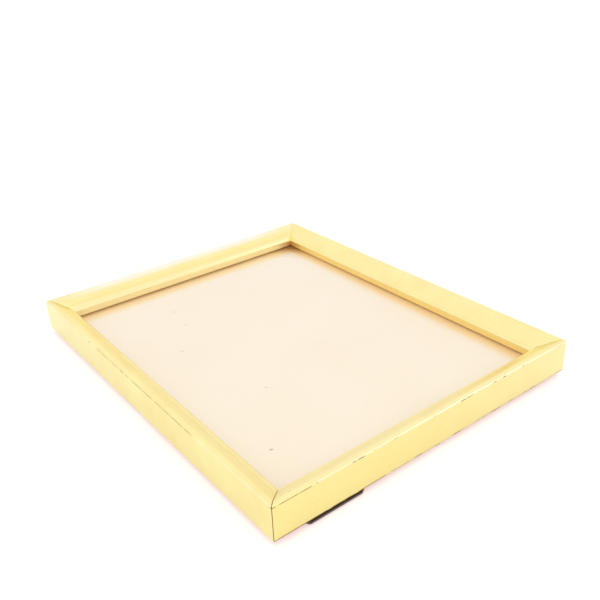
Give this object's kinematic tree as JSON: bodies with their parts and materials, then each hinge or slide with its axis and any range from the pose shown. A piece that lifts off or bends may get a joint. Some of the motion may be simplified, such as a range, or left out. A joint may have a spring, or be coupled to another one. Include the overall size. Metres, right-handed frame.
{
  "type": "picture frame",
  "caption": "Rectangular gilt picture frame with mitred, sloping moulded rails and a sight-edge bead, glass over a blank card, and a hardboard back with a folding easel leg and turn buttons.",
  "frame": {"origin": "on the table below the middle of the frame, with the frame lying on its back and the easel leg folded", "axes": "+Z out of the picture, +Y towards the top rail, +X to the right as seen from the front"},
  "size_m": [0.2196, 0.2706, 0.0251],
  "materials": {
    "gilt_wood": "pale gold leaf, satin",
    "steel": "zinc plated",
    "picture_glass": "polished",
    "cream_card": "matt, uncoated",
    "corrugated_card": "kraft",
    "black_hardboard": "black brown, matt"
  },
  "bodies": {
    "frame": {"bottom_rail": "gilt_wood", "right_rail": "gilt_wood", "top_rail": "gilt_wood", "left_rail": "gilt_wood", "corner_nail_bottom_left": "steel", "corner_nail_bottom_right": "steel", "corner_nail_top_right": "steel", "corner_nail_top_left": "steel", "glass_pane": "picture_glass", "insert_card": "cream_card", "filler_board": "corrugated_card", "back_board": "black_hardboard", "hinge_plate": "steel", "hinge_pin": "steel", "plate_rivet_left": "steel", "plate_rivet_right": "steel", "button_screw_bottom": "steel", "button_screw_right": "steel", "button_screw_top": "steel", "button_screw_left": "steel"},
    "leg": {"easel_leg": "black_hardboard", "hinge_leaf": "steel", "leaf_rivet_left": "steel", "leaf_rivet_right": "steel"},
    "button_bottom": {"turn_button_bottom": "steel"},
    "button_right": {"turn_button_right": "steel"},
    "button_top": {"turn_button_top": "steel"},
    "button_left": {"turn_button_left": "steel"}
  },
  "joints": [
    {"name": "leg_hinge", "type": "hinge", "parent": "frame", "child": "leg", "pos_m": [0, 0.01475, 0.00195], "axis": [1, 0, 0], "range_deg": [0, 30]},
    {"name": "button_bottom_turn", "type": "hinge", "parent": "frame", "child": "button_bottom", "pos_m": [0, -0.13153, 0.00285], "axis": [0, 0, 1], "continuous": true},
    {"name": "button_right_turn", "type": "hinge", "parent": "frame", "child": "button_right", "pos_m": [0.10612, 0, 0.00285], "axis": [0, 0, 1], "continuous": true},
    {"name": "button_top_turn", "type": "hinge", "parent": "frame", "child": "button_top", "pos_m": [0, 0.13153, 0.00285], "axis": [0, 0, 1], "continuous": true},
    {"name": "button_left_turn", "type": "hinge", "parent": "frame", "child": "button_left", "pos_m": [-0.10612, 0, 0.00285], "axis": [0, 0, 1], "continuous": true}
  ]
}
